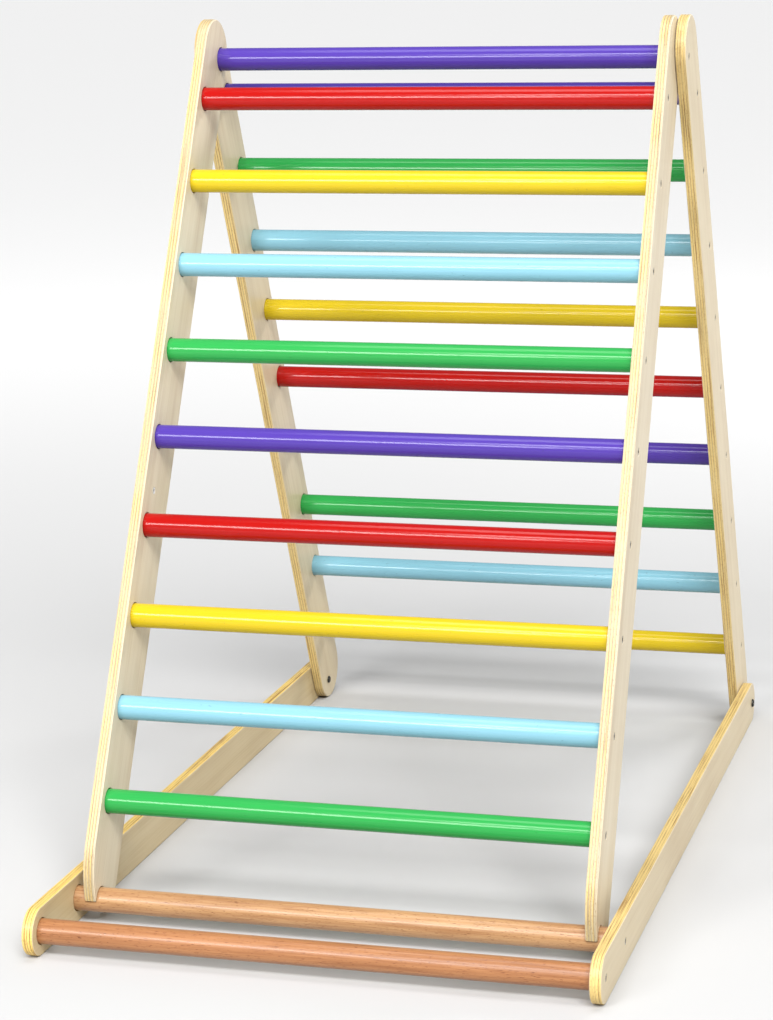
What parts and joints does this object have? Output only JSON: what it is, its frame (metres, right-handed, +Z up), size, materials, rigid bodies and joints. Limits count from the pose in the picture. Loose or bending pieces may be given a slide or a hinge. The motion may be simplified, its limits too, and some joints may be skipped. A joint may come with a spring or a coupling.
{
  "type": "folding climbing triangle",
  "caption": "Child's indoor climbing triangle: hinged ladders of coloured rungs between plywood sides, one bolted to a floor frame and the other standing on its rod.",
  "frame": {"origin": "on the floor, midway between the two rails and midway along the object's length", "axes": "+X across the object towards the right-hand rail seen from the front, +Y from the front rod to the bolted back end, +Z up"},
  "size_m": [0.6938, 1.1988, 1.0633],
  "materials": {
    "birch_plywood": "clear satin lacquer over birch plywood, layers showing on the edges",
    "beech": "clear satin lacquer over turned beech",
    "purple_paint": "gloss purple paint over turned wood",
    "red_paint": "gloss red paint over turned wood",
    "yellow_paint": "gloss yellow paint over turned wood",
    "light_blue_paint": "gloss light blue paint over turned wood",
    "green_paint": "gloss green paint over turned wood",
    "zinc_steel": "zinc plated",
    "black_steel": "black oxide"
  },
  "bodies": {
    "base_frame": {"rail_left": "birch_plywood", "rail_right": "birch_plywood", "seat_rod": "beech", "front_rod": "beech", "pivot_bolt_left": "black_steel", "pivot_bolt_right": "black_steel", "pivot_nut_left": "black_steel", "pivot_nut_right": "black_steel", "seat_rod_screw_left": "zinc_steel", "seat_rod_screw_right": "zinc_steel", "front_rod_screw_left": "zinc_steel", "front_rod_screw_right": "zinc_steel"},
    "rear_ladder": {"rear_panel_left": "birch_plywood", "rear_panel_right": "birch_plywood", "hinge_rod": "purple_paint", "hinge_screw_left": "zinc_steel", "hinge_screw_right": "zinc_steel", "rear_rung_1": "purple_paint", "rear_rung_2": "green_paint", "rear_rung_3": "light_blue_paint", "rear_rung_4": "yellow_paint", "rear_rung_5": "red_paint", "rear_rung_6": "purple_paint", "rear_rung_7": "green_paint", "rear_rung_8": "light_blue_paint", "rear_rung_9": "yellow_paint"},
    "front_ladder": {"front_panel_left": "birch_plywood", "front_panel_right": "birch_plywood", "panel_insert_left": "zinc_steel", "panel_insert_right": "zinc_steel", "front_rung_1": "red_paint", "front_rung_2": "yellow_paint", "front_rung_3": "light_blue_paint", "front_rung_4": "green_paint", "front_rung_5": "purple_paint", "front_rung_6": "red_paint", "front_rung_7": "yellow_paint", "front_rung_8": "light_blue_paint", "front_rung_9": "green_paint"}
  },
  "joints": [
    {"name": "rear_ladder_tilt", "type": "hinge", "parent": "base_frame", "child": "rear_ladder", "pos_m": [0, 0.54632, 0.02876], "axis": [-1, 0, 0], "range_deg": [0, 113]},
    {"name": "apex_fold", "type": "hinge", "parent": "rear_ladder", "child": "front_ladder", "pos_m": [0, 0.08325, 1.00999], "axis": [1, 0, 0], "range_deg": [0, 50.85]}
  ],
  "couplings": [
    {"joint": "apex_fold", "follows": "rear_ladder_tilt", "ratio": 0.45}
  ]
}
